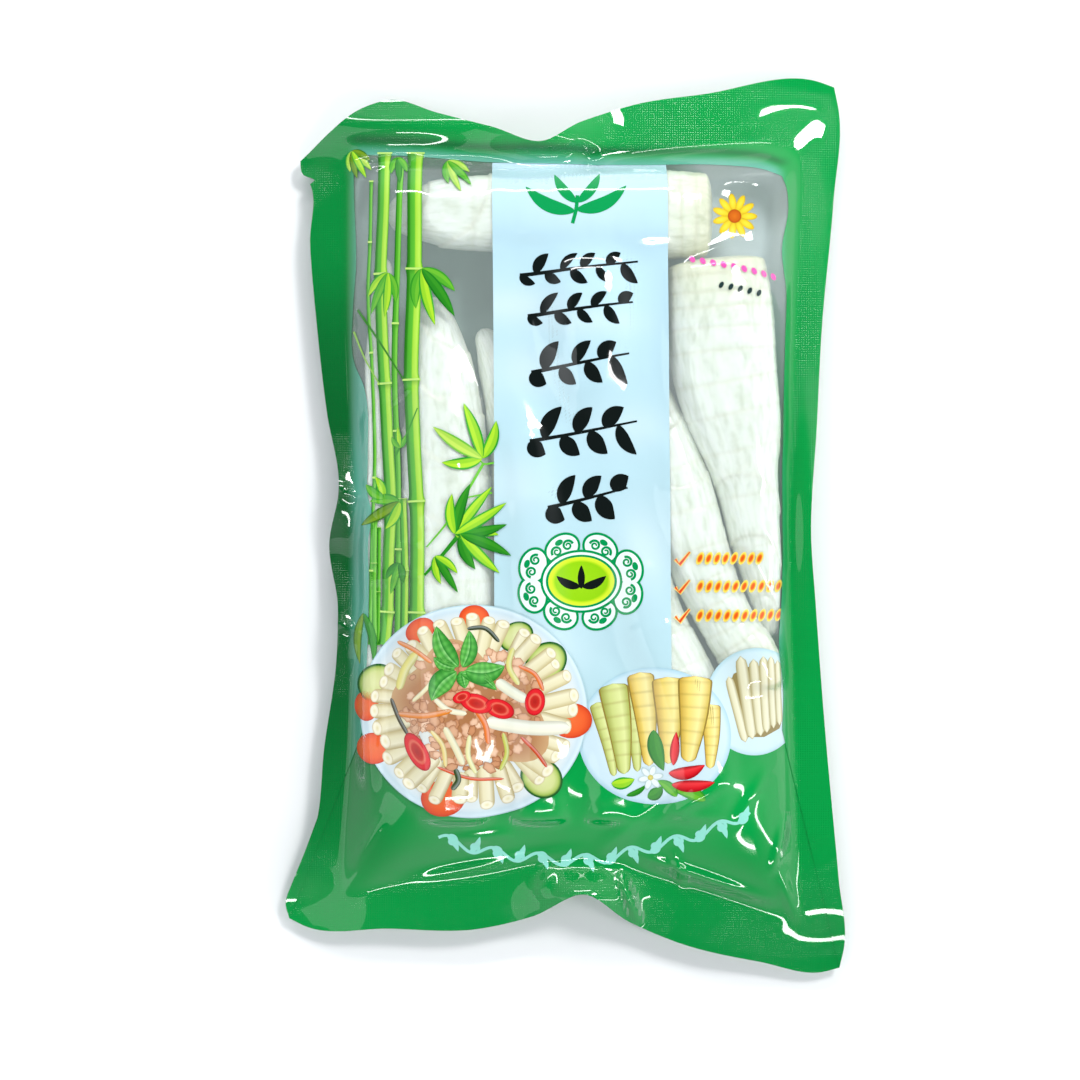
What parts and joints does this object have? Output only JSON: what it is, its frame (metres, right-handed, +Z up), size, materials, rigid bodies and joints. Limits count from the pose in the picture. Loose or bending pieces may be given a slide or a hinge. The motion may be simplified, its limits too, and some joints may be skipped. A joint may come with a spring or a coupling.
{
  "type": "sealed pouch of bamboo shoots",
  "caption": "Flat-lying sealed film pouch with a welded border, holding peeled whole bamboo shoots side by side under a clear front window.",
  "frame": {"origin": "under the middle of the pouch's footprint, on the surface it lies on", "axes": "+Z up, out of the printed front; +Y to the pouch's top end; +X to the right seen from the front"},
  "size_m": [0.158, 0.253, 0.0263],
  "materials": {
    "front_film": "glossy printed laminate film, green border with a clear window",
    "back_film": "glossy pale film",
    "shoot_flesh": "moist boiled shoot flesh, ivory with tan bands at the base"
  },
  "bodies": {
    "root": {"front_film": "front_film", "back_film": "back_film", "shoot_across_top": "shoot_flesh", "shoot_right_upper": "shoot_flesh", "shoot_right_middle": "shoot_flesh", "shoot_right_lower": "shoot_flesh", "shoot_left_wide": "shoot_flesh", "shoot_left_centre": "shoot_flesh", "shoot_left_edge": "shoot_flesh", "shoot_centre_upper": "shoot_flesh", "shoot_centre_lower": "shoot_flesh"}
  },
  "joints": []
}
